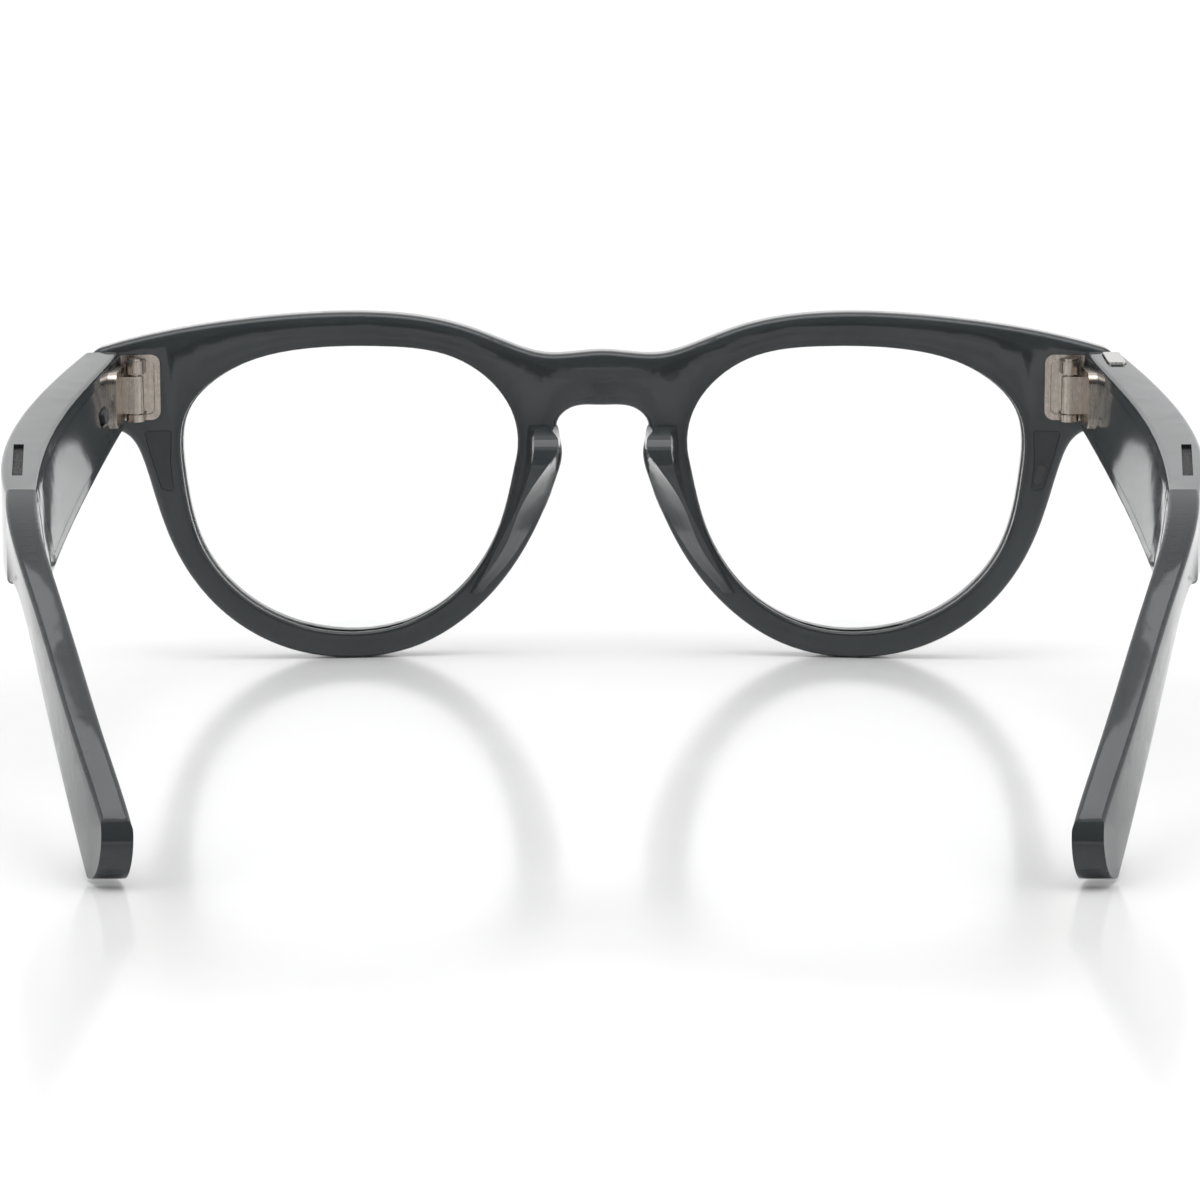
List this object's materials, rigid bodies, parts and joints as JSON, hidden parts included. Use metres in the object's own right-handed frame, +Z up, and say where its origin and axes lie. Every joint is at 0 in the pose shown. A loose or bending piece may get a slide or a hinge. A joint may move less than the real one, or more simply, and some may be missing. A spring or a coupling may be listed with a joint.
{
  "type": "smart glasses",
  "caption": "Round-lens smart glasses with a keyhole bridge, clear lenses, thick folding temples that hold the electronics, and bent-down tips.",
  "frame": {"origin": "middle of the bounding box in plan, on the surface that the open glasses stand on", "axes": "+Z up, -Y the way the wearer looks, +X towards the wearer's left"},
  "size_m": [0.1536, 0.1562, 0.0505],
  "materials": {
    "lens": "clear, polished",
    "smoke_frame": "translucent smoke grey, polished",
    "hinge_metal": "satin nickel",
    "core_metal": "drawn strip",
    "dark_window": "black, polished",
    "button_metal": "satin",
    "switch_plastic": "fine texture",
    "vent_mesh": "fine woven mesh",
    "contact_gold": "plated",
    "battery_wrap": "foil pouch",
    "shield_metal": "stamped",
    "electronics": "circuit laminate and small modules"
  },
  "bodies": {
    "front": {"bridge_microphone": "electronics", "camera_module": "electronics", "camera_window": "dark_window", "capture_light": "electronics", "charging_contacts": "contact_gold", "front_flex": "electronics", "front_frame": "smoke_frame", "hinge_bracket_left": "hinge_metal", "hinge_bracket_right": "hinge_metal", "hinge_pin_left": "hinge_metal", "hinge_pin_right": "hinge_metal", "lens_left": "lens", "lens_right": "lens", "light_window": "dark_window", "rim_cover_left": "smoke_frame", "rim_cover_right": "smoke_frame", "wear_sensor": "electronics", "wear_sensor_window": "dark_window"},
    "left_temple": {"battery": "battery_wrap", "hinge_leaf_left": "hinge_metal", "inner_cover_left": "smoke_frame", "lower_vent_left": "vent_mesh", "speaker_left": "electronics", "speaker_vent_left": "vent_mesh", "switch_body": "electronics", "temple_flex": "electronics", "temple_housing_left": "smoke_frame", "temple_microphone_left": "electronics", "temple_tip_left": "smoke_frame", "tip_core_left": "core_metal"},
    "right_temple": {"button_dome": "electronics", "hinge_leaf_right": "hinge_metal", "inner_cover_right": "smoke_frame", "lower_vent_right": "vent_mesh", "main_board": "electronics", "shield_can": "shield_metal", "speaker_right": "electronics", "speaker_vent_right": "vent_mesh", "temple_housing_right": "smoke_frame", "temple_microphone_right": "electronics", "temple_tip_right": "smoke_frame", "tip_core_right": "core_metal", "touch_strip": "electronics"},
    "capture_button": {"capture_button": "button_metal"},
    "power_switch": {"power_switch": "switch_plastic"}
  },
  "joints": [
    {"name": "left_temple_fold", "type": "hinge", "parent": "front", "child": "left_temple", "pos_m": [0.0666, -0.06263, 0.0397], "axis": [0, 0, 1], "range_deg": [0, 86]},
    {"name": "right_temple_fold", "type": "hinge", "parent": "front", "child": "right_temple", "pos_m": [-0.0666, -0.06263, 0.0397], "axis": [0, 0, -1], "range_deg": [0, 72]},
    {"name": "capture_button_press", "type": "slide", "parent": "right_temple", "child": "capture_button", "axis": [0, 0, -1], "range_m": [0, 0.0004], "stiffness_N_per_m": 3000},
    {"name": "power_switch_slide", "type": "slide", "parent": "left_temple", "child": "power_switch", "axis": [0, 0.9968, -0.0797], "range_m": [0, 0.002]}
  ]
}
